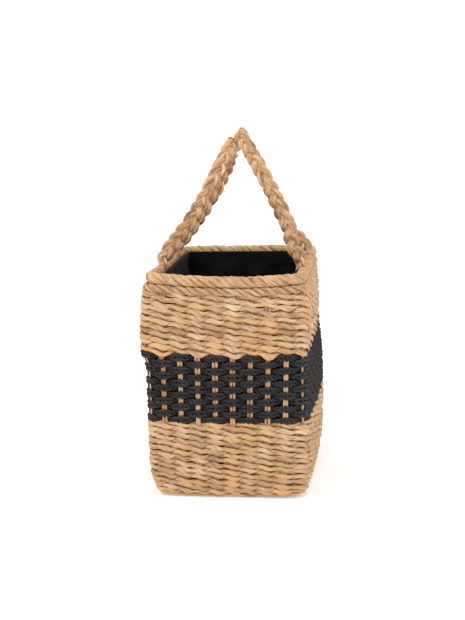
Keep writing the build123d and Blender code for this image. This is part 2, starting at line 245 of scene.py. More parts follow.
def strand(path, out, wide, thick, tone, sides=10, twist=0.0, lobes=0.0, closed=True, start=0.0):
    """A profile carried along a path. The profile is an ellipse of half sizes wide and
    thick, with lobes of the second order and a turn of twist; out is its thickness
    direction. Gives vertices, quads, corner UVs (length along, share round) and tones."""
    n = len(path)
    if closed:
        ahead = np.roll(path, -1, 0) - np.roll(path, 1, 0)
    else:
        ahead = np.gradient(path, axis=0)
    ahead = unit(ahead)
    across = unit(np.cross(out, ahead))
    lift = np.cross(ahead, across)
    wide = np.broadcast_to(wide, n)[:, None]
    thick = np.broadcast_to(thick, n)[:, None]
    angle = np.arange(sides) / sides * 2 * np.pi
    radius = 1 + lobes * np.cos(2 * angle)
    turn = np.broadcast_to(twist, n)[:, None]
    u = radius * np.cos(angle + turn)
    v = radius * np.sin(angle + turn)
    ring = (u * wide)[..., None] * across[:, None] + (v * thick)[..., None] * lift[:, None]
    verts = (path[:, None] + ring).reshape(-1, 3)
    rows = n if closed else n - 1
    i, j = np.meshgrid(np.arange(rows), np.arange(sides), indexing="ij")
    i2, j2 = (i + 1) % n, (j + 1) % sides
    quads = np.stack([i * sides + j, i * sides + j2, i2 * sides + j2, i2 * sides + j], -1)
    quads = quads.reshape(-1, 4)
    step = np.linalg.norm(np.diff(path, axis=0, append=path[:1]), axis=1)
    length = start + np.concatenate([[0], np.cumsum(step)])
    uv = np.stack([
        np.stack([length[i], j / sides], -1),
        np.stack([length[i], (j + 1) / sides], -1),
        np.stack([length[i + 1], (j + 1) / sides], -1),
        np.stack([length[i + 1], j / sides], -1),
    ], -2).reshape(-1, 4, 2)
    if not closed:
        k = np.arange(sides // 2 - 1)
        first = np.stack([sides - 1 - k, sides - 2 - k, k + 1, k], -1)
        last = (n - 1) * sides + first[:, ::-1]
        quads = np.concatenate([quads, first, last])
        cap = np.zeros((len(first), 4, 2))
        uv = np.concatenate([uv, cap + [length[0], 0.5], cap + [length[n - 1], 0.5]])
    tones = np.repeat(np.broadcast_to(tone, n), sides)
    return verts, quads, uv, tones


def piece(name, parts, material, body="basket"):
    """One mesh object from several swept strands: their arrays are joined, settled and
    handed to the mesh whole, with a UV map and a tone attribute."""
    shift = np.cumsum([0] + [len(p[0]) for p in parts[:-1]])
    verts = np.concatenate([p[0] for p in parts])
    quads = np.concatenate([p[1] + s for p, s in zip(parts, shift)])
    uv = np.concatenate([p[2] for p in parts])
    tones = np.concatenate([p[3] for p in parts])
    verts = settle(verts)
    mesh = bpy.data.meshes.new(name)
    mesh.vertices.add(len(verts))
    mesh.vertices.foreach_set("co", verts.astype(np.float32).ravel())
    mesh.loops.add(quads.size)
    mesh.loops.foreach_set("vertex_index", quads.astype(np.int32).ravel())
    mesh.polygons.add(len(quads))
    mesh.polygons.foreach_set("loop_start", np.arange(0, quads.size, 4, dtype=np.int32))
    mesh.polygons.foreach_set("use_smooth", np.ones(len(quads), dtype=bool))
    mesh.update(calc_edges=True)
    layer = mesh.uv_layers.new(name="strand_uv")
    layer.data.foreach_set("uv", uv.astype(np.float32).ravel())
    tone_layer = mesh.attributes.new("tone", "FLOAT", "POINT")
    tone_layer.data.foreach_set("value", tones.astype(np.float32))
    mesh.materials.append(material)
    obj = bpy.data.objects.new(name, mesh)
    bpy.context.collection.objects.link(obj)
    if body:
        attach(obj, body)
    return obj


def link(tree, start, end):
    """A wire in a node tree from one node's output to another's input."""
    tree.links.new(start, end)


def noise(tree, vector, scale, detail=2.0, roughness=0.5):
    """The value from 0 to 1 of a noise texture of this scale over a vector."""
    node = tree.nodes.new("ShaderNodeTexNoise")
    for socket, value in (("Scale", scale), ("Detail", detail), ("Roughness", roughness)):
        node.inputs[socket].default_value = value
    link(tree, vector, node.inputs["Vector"])
    return node.outputs[0]


def grain_group():
    """Dry grass or fibre surface: streaks run along the strand (noise stretched along the
    UV length), blotches change slowly in space, and the strand's own tone moves the whole
    colour between dark, mid and light. Ply paints shade into the grooves between the
    plies, darkening the colour there, and also lowers the height. Gives a colour, a height
    and a roughness."""
    group = bpy.data.node_groups.new("strand_grain", "ShaderNodeTree")
    face = group.interface
    for name in ("Dark", "Mid", "Light", "Warm"):
        face.new_socket(name, in_out="INPUT", socket_type="NodeSocketColor")
    for name in ("Streak", "Along", "Around", "Spread", "Ply"):
        face.new_socket(name, in_out="INPUT", socket_type="NodeSocketFloat")
    face.new_socket("Colour", in_out="OUTPUT", socket_type="NodeSocketColor")
    face.new_socket("Height", in_out="OUTPUT", socket_type="NodeSocketFloat")
    face.new_socket("Rough", in_out="OUTPUT", socket_type="NodeSocketFloat")
    new = group.nodes.new
    inn, out = new("NodeGroupInput"), new("NodeGroupOutput")
    uv = new("ShaderNodeUVMap")
    uv.uv_map = "strand_uv"
    tone = new("ShaderNodeAttribute")
    tone.attribute_name = "tone"
    place = new("ShaderNodeTexCoord")
    split = new("ShaderNodeSeparateXYZ")
    link(group, uv.outputs["UV"], split.inputs[0])

    def math_node(kind, a, b):
        """One arithmetic step on two inputs, each a number or another node's output."""
        node = new("ShaderNodeMath")
        node.operation = kind
        for socket, value in zip(node.inputs, (a, b)):
            if isinstance(value, (int, float)):
                socket.default_value = value
            else:
                link(group, value, socket)
        return node.outputs[0]

    turn = math_node("MULTIPLY", split.outputs[1], 2 * math.pi)
    around_x = math_node("MULTIPLY", math_node("COSINE", turn, 0), inn.outputs["Around"])
    around_y = math_node("MULTIPLY", math_node("SINE", turn, 0), inn.outputs["Around"])
    along = math_node("MULTIPLY", split.outputs[0], inn.outputs["Along"])
    join = new("ShaderNodeCombineXYZ")
    link(group, along, join.inputs[0])
    link(group, around_x, join.inputs[1])
    link(group, around_y, join.inputs[2])
    streak = noise(group, join.outputs[0], 1.0, detail=4.0, roughness=0.62)
    blotch = noise(group, place.outputs["Object"], 42.0, detail=3.0)
    warmth = noise(group, place.outputs["Object"], 17.0)

    # Painted shade: the Ply share darkens the colour in the grooves between the plies, where the
    # profile pinches, and the same amount lowers the height there.
    lobe = math_node("ABSOLUTE", math_node("COSINE", turn, 0), 0)
    groove_shade_and_depth = math_node("POWER", math_node("SUBTRACT", 1.0, lobe), 3.0)
    groove_shade_and_depth = math_node("MULTIPLY", groove_shade_and_depth, inn.outputs["Ply"])
    level = math_node("SUBTRACT", streak, 0.5)
    level = math_node("MULTIPLY", level, inn.outputs["Streak"])
    spot = math_node("MULTIPLY", math_node("SUBTRACT", blotch, 0.5), 0.9)
    own = math_node("MULTIPLY", tone.outputs["Fac"], inn.outputs["Spread"])
    level = math_node("ADD", math_node("ADD", level, spot), own)
    level = math_node("SUBTRACT", math_node("ADD", level, 0.5), groove_shade_and_depth)

    def mix(share, a, b):
        """Colour a times one less the share, plus colour b times the share."""
        node = new("ShaderNodeMix")
        node.data_type = "RGBA"
        node.clamp_factor = True
        link(group, share, node.inputs["Factor"])
        link(group, a, node.inputs["A"])
        link(group, b, node.inputs["B"])
        return node.outputs["Result"]

    low = math_node("MULTIPLY", level, 2.0)
    high = math_node("SUBTRACT", low, 1.0)
    colour = mix(low, inn.outputs["Dark"], inn.outputs["Mid"])
    colour = mix(high, colour, inn.outputs["Light"])
    shift = math_node("MULTIPLY", tone.outputs["Fac"], 3.7)
    shift = math_node("SINE", math_node("MULTIPLY", shift, 3.1), 0)
    share = math_node("ADD", math_node("MULTIPLY", shift, 0.30), warmth)
    share = math_node("MULTIPLY", math_node("SUBTRACT", share, 0.38), 1.5)
    colour = mix(share, colour, inn.outputs["Warm"])
    link(group, colour, out.inputs["Colour"])
    link(group, math_node("SUBTRACT", streak, groove_shade_and_depth), out.inputs["Height"])
    rough = math_node("ADD", math_node("MULTIPLY", streak, 0.35), 0.42)
    link(group, rough, out.inputs["Rough"])
    return group


GRAIN = grain_group()


def grass(name, dark, mid, light, warm, streak=1.0, along=26.0, around=2.4, spread=0.16,
          bump=0.0006, gloss=0.35, ply=0.28):
    """A strand material: the grain group feeds colour, roughness and bump. streak, spread
    and ply are the shares of the streaks, of the strand's own tone and of the painted shade
    and dip in the grooves between the plies; along and around scale the streaks' noise, and
    bump is their depth in metres."""
    made = bpy.data.materials.new(name)
    made.use_nodes = True
    tree = made.node_tree
    shader = tree.nodes["Principled BSDF"]
    grain = tree.nodes.new("ShaderNodeGroup")
    grain.node_tree = GRAIN
    for socket, colour in zip(("Dark", "Mid", "Light", "Warm"), (dark, mid, light, warm)):
        grain.inputs[socket].default_value = (*colour, 1)
    shares = {"Streak": streak, "Along": along, "Around": around, "Spread": spread, "Ply": ply}
    for socket, value in shares.items():
        grain.inputs[socket].default_value = value
    bumped = tree.nodes.new("ShaderNodeBump")
    bumped.inputs["Distance"].default_value = bump
    bumped.inputs["Strength"].default_value = 0.8
    link(tree, grain.outputs["Height"], bumped.inputs["Height"])
    link(tree, bumped.outputs["Normal"], shader.inputs["Normal"])
    link(tree, grain.outputs["Colour"], shader.inputs["Base Color"])
    link(tree, grain.outputs["Rough"], shader.inputs["Roughness"])
    shader.inputs["Specular IOR Level"].default_value = gloss
    return made


seagrass = grass(
    "seagrass", (0.29, 0.142, 0.060), (0.52, 0.320, 0.172), (0.74, 0.545, 0.355),
    (0.60, 0.335, 0.140), streak=1.2, ply=0.38,
)


def woven_ring(up, parity, z_mid, half_wide, half_thick, seed, per_stake=12, dip=0.0):
    """One strand woven plain round all the stakes: its depth swings in and out as a cosine
    of the stake count, its height follows a mix of the first and second sines of the same
    angle, and it swells where it is furthest in or out. up is its height above the course's
    middle, parity says which stakes it passes in front of, and dip lowers its fronts."""
    count = STAKES * per_stake
    place = (np.arange(count) + 0.5) / per_stake
    phase = np.pi * (place - 0.5 - parity)
    swing = np.cos(phase)
    slope = 0.4 * np.sin(phase) + 0.6 * np.sin(2 * phase)
    firm = np.sign(swing) * np.abs(swing) ** 0.8
    rng = np.random.default_rng(seed)
    fronts = rng.normal(0, 1, (4, STAKES))
    share = place - 0.5
    nearest = np.round(share).astype(int) % STAKES
    swell = 1 + OWN_SWELL * fronts[0][nearest] * np.abs(swing)
    own_lift = OWN_LIFT * fronts[1][nearest] * np.abs(swing)
    own_out = OWN_OUT * fronts[2][nearest] * np.abs(swing)
    depth = MID - STRAND_SWING * firm + WANDER_OUT * drift(count, 12, seed + 1) - own_out
    z = z_mid + up - STRAND_FALL * slope
    z = z + own_lift + WANDER_UP * drift(count, 9, seed + 2)
    z = z - dip * np.clip(swing, 0, 1) ** 2
    points, out = wall_point(place, z, depth)
    lens = 0.62 + 0.38 * np.abs(swing) ** 0.9
    tone = fronts[3][nearest] * 0.62 + rng.normal(0, 0.4)
    twist = np.round(4 * QUARTER / STRAND_TURN) * 2 * np.pi * place / STAKES + rng.uniform(0, 6)
    return strand(
        points, out, half_wide * lens * swell, half_thick * (0.8 + 0.2 * lens), tone,
        twist=twist + 0.6 * drift(count, 30, seed + 3), lobes=0.11, start=rng.uniform(0, 9),
    )


def natural_course(node, seed, dip=0.0):
    """Two strands a quarter of the course's height above and below its middle, each passing
    in front where the other passes behind."""
    low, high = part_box(node)
    pitch = high[2] - low[2]
    middle = (high[2] + low[2]) / 2
    half_wide = pitch * 0.48
    parts = [
        woven_ring(pitch / 4, 1, middle, half_wide, STRAND_HALF_THICK, seed),
        woven_ring(-pitch / 4, 0, middle, half_wide, STRAND_HALF_THICK, seed + 50, dip=dip),
    ]
    obj = piece(node + "_weave", parts, seagrass)
    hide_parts(node)


for number, node in enumerate(LOWER):
    natural_course(node, 1000 + 100 * number)
for number, node in enumerate(UPPER):
    natural_course(node, 5000 + 100 * number, dip=FIRST_ROW_DIP if number == 0 else 0.0)


# ---------------------------------------------------------------- foot course
# The first two rows turn the base into the walls: thicker strands woven plain round the
# stakes where they bend up, with one more row tucked under the edge.
FOOT_HALF_THICK = 0.0024
UNDER_ROW_Z = 0.0026
UNDER_ROW_WAVE = 0.0004
UNDER_ROW_DEPTH = 0.0085
UNDER_ROW_WIDE, UNDER_ROW_THICK = 0.0042, 0.0022
low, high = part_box("foot_course")
foot_middle = (low[2] + high[2]) / 2
foot_rows = [
    woven_ring(0.0028, 1, foot_middle, 0.0036, FOOT_HALF_THICK, 801),
    woven_ring(0.0012, 0, foot_middle, 0.0024, FOOT_HALF_THICK, 802),
]


def foot_under_row():
    """A strand laid round the bottom just inside the edge: the wall path at the floor,
    drawn in, and waved up and down as a cosine of the stake count."""
    per_stake = 10
    count = STAKES * per_stake
    place = (np.arange(count) + 0.5) / per_stake
    wave = np.cos(np.pi * (place - 0.5))
    points, out = wall_point(place, UNDER_ROW_Z + UNDER_ROW_WAVE * wave, UNDER_ROW_DEPTH)
    down = np.array([0.0, 0.0, -1.0]) + 0 * out
    return strand(points, down, UNDER_ROW_WIDE, UNDER_ROW_THICK, 0.3 * wave, start=3.0)


foot = piece("foot_course_weave", [*foot_rows, foot_under_row()], seagrass)
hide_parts("foot_course")

# ---------------------------------------------------------------- black band
# Eleven rows, each a pair of two-ply cords of dyed seagrass side by side, woven over one
# stake and under the next, so that pale stakes show through as a check.
# Its large ply share paints deep shade into the grooves between the cords' plies.
black_cord = grass(
    "black_cord", (0.0035, 0.003, 0.003), (0.012, 0.011, 0.011), (0.048, 0.044, 0.042),
    (0.024, 0.016, 0.011), streak=1.4, along=60.0, around=1.6, spread=0.08, gloss=0.4, ply=0.8,
)
PLY_TURN = 0.0120
CORD_BESIDE = 0.00205
CORD_SWING = 0.0031
CORD_HALF_WIDE = 0.00205
CORD_FRONT_WIDE = 0.00045
CORD_HALF_THICK = 0.00185
TOP_ROW_RISE = 0.0016


def black_cord_ring(node, number, up, seed, per_stake=20, rise=0.0):
    """A two-ply cord: a profile of two lobes that turns once in each ply length, on a path
    that swings over and under the stakes as a flattened cosine. up is its height above the
    row's middle, more in front, and rise lifts its fronts."""
    low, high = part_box(node)
    z_mid = (low[2] + high[2]) / 2
    count = STAKES * per_stake
    place = (np.arange(count) + 0.5) / per_stake
    swing = np.cos(np.pi * (place - 0.5 - number - 1))
    firm = np.sign(swing) * np.abs(swing) ** 0.7
    rng = np.random.default_rng(seed)
    fronts = rng.normal(0, 1, (3, STAKES))
    nearest = np.round(place - 0.5).astype(int) % STAKES
    front = np.clip(swing, 0, 1)
    z = z_mid + up * (0.86 + 0.42 * front) + rise * front ** 2
    z = z + 0.0005 * drift(count, 14, seed) + 0.00025 * fronts[0][nearest] * np.abs(swing)
    depth = MID - CORD_SWING * firm - 0.0003 * fronts[1][nearest] * np.abs(swing)
    points, out = wall_point(place, z, depth)
    turns = np.round(4 * QUARTER / PLY_TURN)
    twist = 2 * np.pi * turns * place / STAKES + rng.uniform(0, 6)
    tone = 0.6 * fronts[2][nearest] + rng.normal(0, 0.4)
    fat = 1 + 0.05 * drift(count, 25, seed + 9)
    return strand(
        points, out, (CORD_HALF_WIDE + CORD_FRONT_WIDE * front) * fat, CORD_HALF_THICK * fat, tone,
        sides=12, twist=twist, lobes=0.27, start=rng.uniform(0, 9),
    )


for number, node in enumerate(reversed(BLACK)):
    rise = TOP_ROW_RISE if number == 0 else 0.0
    cords = [
        black_cord_ring(node, number, CORD_BESIDE, 9000 + 20 * number, rise=rise),
        black_cord_ring(node, number, -CORD_BESIDE, 9010 + 20 * number, rise=rise * 0.5),
    ]
    row = piece(node + "_cords", cords, black_cord)
    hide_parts(node)

# ---------------------------------------------------------------- stakes
# Pairs of undyed strands laid side by side. The long and cross stakes run up one wall,
# flat under the base and up the other; each corner has one short stake of its own.
stake_grass = grass(
    "stake_grass", (0.32, 0.16, 0.070), (0.55, 0.365, 0.215), (0.77, 0.59, 0.41),
    (0.57, 0.295, 0.12), spread=0.24,
)
STAKE_HALF_WIDE = 0.00175
STAKE_HALF_THICK = 0.00125
STAKE_BEND = 0.0008
STAKE_LIFT = 0.0013
STAKE_FOOT = 0.004
STAKE_BOW = 0.018
CORNER_STAKE_WIDE, CORNER_STAKE_THICK = 0.0019, 0.0012
STAKE_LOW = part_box("long_stakes")[0][2] + STAKE_LIFT
CROSS_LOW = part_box("cross_stakes")[0][2] + STAKE_LIFT
STAKE_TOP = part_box("long_stakes")[1][2]


def stake_path(place, low, side, bow_seed):
    """The middle of one strand of a stake from the foot to the border, moved along the
    wall by side: the wall's own line at mid depth with a slight bow, a sine of height."""
    rise = np.linspace(low, STAKE_TOP, 70)
    shift = side / SPACING + STAKE_BOW * np.sin(rise * 40 + bow_seed)
    return wall_point(place + shift, rise, MID)


def whole_stake(place, low, side, seed, flat):
    """A strand up one wall, straight across the base and up the opposite wall. flat is the
    axis that it runs along under the base, 0 across or 1 along; one slanting point cuts
    each bend's corner."""
    up, out = stake_path(place, low + STAKE_FOOT, side, seed)
    other = -place if flat == 0 else STAKES / 2 - place
    back, back_out = stake_path(other, low + STAKE_FOOT, -side, seed + 1.7)
    first, last = up[0], back[0]
    run = np.linspace(0, 1, 26)[1:-1, None]
    bottom = first + (last - first) * run
    bottom[:, 2] = low
    bottom_out = np.tile([0.0, 0.0, -1.0], (len(bottom), 1))
    ends = slice(1, -1)
    turn_in = first + unit(last - first) * STAKE_BEND
    turn_in[2] = low + STAKE_BEND
    turn_out = last + unit(first - last) * STAKE_BEND
    turn_out[2] = low + STAKE_BEND
    path = np.concatenate([up[::-1], [turn_in], bottom[ends], [turn_out], back])
    slant = unit(out[0] + np.array([0, 0, -1.0]))
    slant_back = unit(back_out[0] + np.array([0, 0, -1.0]))
    outs = np.concatenate([out[::-1], [slant], bottom_out[ends], [slant_back], back_out])
    rng = np.random.default_rng(int(seed * 100))
    tone = rng.normal(0, 0.9)
    return strand(
        path, outs, STAKE_HALF_WIDE, STAKE_HALF_THICK, tone, sides=8, closed=False,
        start=rng.uniform(0, 9),
    )


def stake_piece(node, places, low, flat):
    """All the stakes of one kind: at each place two strands side by side, half a pair's
    width either way of the place."""
    parts = []
    for number, place in enumerate(places):
        for side in (-STAKE_HALF_WIDE, STAKE_HALF_WIDE):
            seed = number + 3 * side * 1000 + 20 * flat + 30
            parts.append(whole_stake(place, low, side, seed, flat))
    obj = piece(node + "_strands", parts, stake_grass)
    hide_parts(node)


CORNER_PLACE = 4.5
END_PLACES = np.arange(8) - 3.5
SIDE_PLACES = STAKES / 4 + np.arange(15) - 7
stake_piece("long_stakes", END_PLACES, STAKE_LOW, 1)
stake_piece("cross_stakes", SIDE_PLACES, CROSS_LOW, 0)

corner_parts = []
corner_places = (
    CORNER_PLACE, STAKES / 2 - CORNER_PLACE, STAKES / 2 + CORNER_PLACE, STAKES - CORNER_PLACE
)
for number, place in enumerate(corner_places):
    path, outs = stake_path(place, STAKE_LOW, 0, number)
    tone = 0.5 * number - 0.7
    corner_parts.append(strand(
        path, outs, CORNER_STAKE_WIDE, CORNER_STAKE_THICK, tone, sides=8, closed=False
    ))
corners = piece("corner_stake_strands", corner_parts, stake_grass)
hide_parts("corner_stakes")

# ---------------------------------------------------------------- base
# Rows of strand woven plain across the long stakes, from one end of the base to the
# other: an under layer that the basket stands on and an over layer beneath the liner.
base_grass = grass(
    "base_grass", (0.27, 0.132, 0.055), (0.49, 0.295, 0.157), (0.69, 0.495, 0.315),
    (0.57, 0.305, 0.127),
)
BASE_ROWS = 47
BASE_STAKE_PITCH = 0.0208
BASE_WAVE = 0.0004
BASE_HALF_THICK = 0.0013
BASE_EDGE = 0.002


def base_rows(node, parity, seed):
    """Straight strands across the width, one for every row of the base, each waving over
    and under the long stakes as a cosine of the stake count. Towards each end the rows
    shorten as the base's round corners do, by the circle's own equation."""
    low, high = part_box(node)
    pitch = (high[1] - low[1]) / BASE_ROWS
    half_x = high[0] - BASE_EDGE
    middle = (low[2] + high[2]) / 2
    radius = CORNER - 2 * BASE_EDGE
    rng = np.random.default_rng(seed)
    parts = []
    for row in range(BASE_ROWS):
        y = low[1] + (row + 0.5) * pitch
        into = max(0.0, abs(y) + pitch / 2 - high[1] + radius)
        reach = half_x - radius + math.sqrt(max(radius ** 2 - into ** 2, 0))
        x = np.linspace(-reach, reach, 90)
        wave = np.cos(np.pi * (x / BASE_STAKE_PITCH - 0.5 + row + parity))
        z = middle + BASE_WAVE * wave
        path = np.stack([x, y + 0.0006 * np.sin(x * 60 + row) + 0 * x, z], -1)
        outs = np.tile([0.0, 0.0, -1.0], (len(x), 1))
        fat = 1.0 + 0.06 * rng.normal()
        wide = pitch * 0.53 * fat * (0.86 + 0.14 * wave)
        parts.append(strand(
            path, outs, wide, BASE_HALF_THICK, rng.normal(0, 0.9), sides=8, closed=False,
            start=rng.uniform(0, 9),
        ))
    obj = piece(node + "_rows", parts, base_grass)
    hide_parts(node)


base_rows("base_weft_under", 0, 71)
base_rows("base_weft_over", 1, 72)

# ---------------------------------------------------------------- border
# The stake ends are turned down and woven round the rim in slanting strands: a thick top
# roll and a smaller roll beneath it, with a few dry fibres standing out.
border_grass = grass(
    "border_grass", (0.28, 0.138, 0.060), (0.52, 0.322, 0.178), (0.74, 0.55, 0.362),
    (0.58, 0.325, 0.143), spread=0.22, ply=0.42,
)
CORE_SHARE = 0.58
# Painted shade: the core gets a dark tone to stand for the shade in the gaps of the roll.
CORE_SHADE_TONE = -2.2
BLADE_WIDE = 0.305
BLADE_THICK = 0.40
BLADES_BESIDE = 0.56
BLADE_TURN = 0.09
BLADE_WANDER = 0.20
BLADE_WOBBLE = 0.0004


def roll(node, strands, turns, radius_wide, radius_thick, depth, seed, squeeze=0.62):
    """Slanting strands that wind round the middle line of the roll like a rope. The middle
    line is the wall path; a strand's centre goes round it at the squeeze share of the
    roll's half sizes, once for every pitch, and each strand is two blades side by side. A
    core of turned-down stake ends fills the middle; its dark tone is painted shade for the
    gaps between the blades."""
    low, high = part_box(node)
    z_mid = (low[2] + high[2]) / 2
    per_stake = 16
    count = STAKES * per_stake
    place = (np.arange(count) + 0.5) / per_stake
    around = np.arange(count) / count * 2 * np.pi * turns
    rng = np.random.default_rng(seed)
    points, out = wall_point(place, z_mid + 0 * place, depth + 0 * place)
    core_wide, core_thick = radius_thick * CORE_SHARE, radius_wide * CORE_SHARE
    # The core's dark tone is painted shade seen through the gaps between the blades.
    parts = [strand(points, out, core_wide, core_thick, CORE_SHADE_TONE, sides=8)]
    for k in range(2 * strands):
        wander = BLADE_WANDER * drift(count, 34, seed + 70 + k // 2)
        beside = (0.5 - k % 2) * BLADES_BESIDE
        angle = -around + 2 * np.pi * (k // 2) / strands + wander + beside
        wobble = BLADE_WOBBLE * drift(count, 40, seed + k)
        z = z_mid + squeeze * radius_thick * np.sin(angle) + wobble
        at = depth - squeeze * radius_wide * np.cos(angle)
        points, out = wall_point(place, z_mid + 0 * place, at)
        points[:, 2] = z
        spin = np.cos(angle)[:, None] * out + np.sin(angle)[:, None] * np.array([0, 0, 1.0])
        tone = drift(count, 60, seed + 20 + k) * 0.9
        fat = 1 + 0.06 * drift(count, 50, seed + 40 + k)
        blade_turns = np.round(4 * QUARTER / BLADE_TURN)
        twist = 2 * np.pi * blade_turns * place / STAKES + rng.uniform(0, 6)
        parts.append(strand(
            points, spin, radius_thick * BLADE_WIDE * fat, radius_wide * BLADE_THICK, tone,
            sides=8, twist=twist, lobes=0.06, start=rng.uniform(0, 9),
        ))
    return parts


top_parts = roll("border_top_roll", 4, 24, 0.0074, 0.0080, 0.0078, 301)
top_roll = piece("border_top_roll_strands", top_parts, border_grass)
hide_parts("border_top_roll")
low_parts = roll("border_lower_roll", 3, 30, 0.0052, 0.0060, 0.0054, 331)
low_parts += roll("border_lower_roll", 3, 30, 0.0036, 0.0050, 0.0112, 351)
low_roll = piece("border_lower_roll_strands", low_parts, border_grass)
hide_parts("border_lower_roll")


# ---------------------------------------------------------------- handles
# Each handle is one flat plait of three bundles, four blades of grass to a bundle. It
# comes up out of the border at one leg, leans in over the opening, and goes back down at
# the other. The left one sags into a bow, the right one stands nearly straight.
handle_grass = grass(
    "handle_grass", (0.27, 0.133, 0.057), (0.54, 0.335, 0.185), (0.80, 0.59, 0.385),
    (0.60, 0.33, 0.142), spread=0.24,
)
PLAIT_PERIOD = 0.0510
LEG_SPREAD = 0.0800
HINGE_X = 0.0931
HINGE_Z = 0.3050
BELOW = 0.0160
NECK_Z = 0.262
NECK_HEIGHT = 0.026
POINT_GAP = 0.0011
BUNDLE_SIDEWAYS = 0.0063
BUNDLE_TO_AND_FRO = 0.0031
BLADES = 4
BLADE_ROUND = 0.16
BLADE_OFF = 0.0027
BLADE_RISE = 0.0012
BLADE_HALF_WIDE = 0.0024
BLADE_HALF_THICK = 0.0015
PLAIT_CORE_WIDE, PLAIT_CORE_THICK = 0.0024, 0.0052
LEG_PLACE = 3.5


def handle_line(side, crown_x, crown_z, bow, turn, stoop):
    """The middle line of a plait, and each point's share of the height: two straight legs
    joined by half a circle, in a plane that leans from the hinge line to the crown. bow
    bends the plane as a half sine, stoop leans its lowest part, and turn twists it about
    the upright axis."""
    reach = math.hypot(crown_x - side * HINGE_X, crown_z - HINGE_Z)
    leg = reach - LEG_SPREAD
    arch = math.pi * LEG_SPREAD
    total = 2 * (leg + BELOW) + arch
    count = int(total / POINT_GAP)
    along = np.linspace(0, total, count) - BELOW
    angle = np.clip((along - leg) / LEG_SPREAD, 0, math.pi)
    down = np.maximum(along - leg - arch, 0)
    up = np.minimum(along, leg) + LEG_SPREAD * np.sin(angle) - down
    y = -LEG_SPREAD * np.cos(angle)
    share = np.clip(up / reach, 0, 1)
    low = np.minimum(up, 0)
    bend = bow * np.sin(math.pi * share ** 0.85)
    bend = bend + stoop * smooth(9 * share) * smooth((0.55 - share) / 0.45)
    x = side * HINGE_X + (crown_x - side * HINGE_X) * share + bend
    z = HINGE_Z + (crown_z - HINGE_Z) * share + low
    ramp = np.clip(share * 3.4, 0, 1)
    x = x - turn * y * ramp * ramp * (3 - 2 * ramp)
    return np.stack([x, y, z], -1), share


def plait(node, number, line, share, seed, tip):
    """One bundle of a three-part flat plait: it moves sideways as a sine and to and fro as
    a sine of twice the angle, a third of a turn after the one before, and its blades turn
    slowly round its middle. Near the border the plait narrows. tip turns its flat side
    about its own line near the crown, as a smooth step. The third bundle brings the core."""
    ahead = unit(np.gradient(line, axis=0))
    middle = len(line) // 2
    flat = unit(line[middle] - (line[20] + line[-20]) / 2)
    normal = unit(np.cross(flat, [0, 1.0, 0]))
    normal = unit(normal - (ahead * normal).sum(-1, keepdims=True) * ahead)
    inward = np.cross(normal, ahead)
    tilt = tip * smooth((share - 0.55) / 0.45)[:, None]
    normal, inward = (
        np.cos(tilt) * normal + np.sin(tilt) * inward,
        np.cos(tilt) * inward - np.sin(tilt) * normal,
    )
    step = np.linalg.norm(np.diff(line, axis=0, prepend=line[:1]), axis=1)
    length = np.cumsum(step)
    phase = 2 * math.pi * (length / PLAIT_PERIOD + number / 3) + 0.25 * drift(len(line), 9, seed)
    near = np.clip((line[:, 2] - HINGE_Z + BELOW) / 0.022, 0, 1)
    width = (0.60 + 0.40 * near) * (1 - 0.05 * smooth((share - 0.75) * 4))
    sideways = BUNDLE_SIDEWAYS + 0.0004 * drift(len(line), 12, seed + 1)
    side = sideways * width * np.sin(phase)
    back = BUNDLE_TO_AND_FRO * width * np.sin(2 * phase)
    centre = line + side[:, None] * normal + back[:, None] * inward
    slope = unit(np.gradient(centre, axis=0))
    wide_way = unit(normal - (slope * normal).sum(-1, keepdims=True) * slope)
    thick_way = np.cross(slope, wide_way)
    rng = np.random.default_rng(seed)
    parts = []
    for blade in range(BLADES):
        angle = 2 * math.pi * (length / BLADE_ROUND + blade / BLADES) + rng.uniform(0, 0.5)
        off = BLADE_OFF * width * np.cos(angle)
        rise = BLADE_RISE * width * np.sin(angle)
        path = centre + off[:, None] * wide_way + rise[:, None] * thick_way
        outs = np.cos(angle)[:, None] * wide_way * 0.5 + np.sin(angle)[:, None] * thick_way
        tone = rng.normal(0, 0.8) + 0.5 * drift(len(line), 14, seed + 5 + blade)
        fat = 1 + 0.08 * drift(len(line), 30, seed + 9 + blade)
        parts.append(strand(
            path, unit(outs), BLADE_HALF_WIDE * width * fat, BLADE_HALF_THICK * width, tone,
            sides=8, closed=False, start=rng.uniform(0, 9),
        ))
    if number == 2:
        parts.append(strand(
            line, normal, PLAIT_CORE_WIDE * width, PLAIT_CORE_THICK * width, -0.6,
            sides=8, closed=False, start=2.0,
        ))
    obj = piece(f"{node}_plait", parts, handle_grass, body=None)
    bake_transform(obj)
    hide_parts(node)


def tails(node, side, seed):
    """Under each leg the blades gather into a neck that goes down through the border, and
    then run flat in the wall between two stakes: a smooth step of height from the hinge
    line out to the middle of the wall."""
    low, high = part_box(node)
    rng = np.random.default_rng(seed)
    parts = []
    for leg_side in (-1, 1):
        for blade in range(BLADES):
            z = np.linspace(low[2] + 0.001 + 0.004 * (blade % 2), HINGE_Z - 0.006, 60)
            place = (0.5 - 0.25 * side) * STAKES + LEG_PLACE * side * leg_side
            spot, out = wall_point(place + 0 * z, z, MID)
            share = smooth((z - NECK_Z) / NECK_HEIGHT)
            apart = (blade - 1.5) * (0.0022 + 0.0006 * share)
            x = spot[:, 0] * (1 - share) + side * HINGE_X * share
            y = spot[:, 1] + (leg_side * LEG_SPREAD - spot[:, 1]) * share + apart
            path = np.stack([x, y, z], -1)
            outs = np.tile([side, 0.0, 0.0], (len(z), 1))
            thick = 0.0010 + 0.0012 * share
            parts.append(strand(
                path, outs, 0.0016, thick, rng.normal(0, 0.8), sides=8, closed=False,
                start=rng.uniform(0, 9),
            ))
    obj = piece(node + "_tails", parts, handle_grass)
    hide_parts(node)


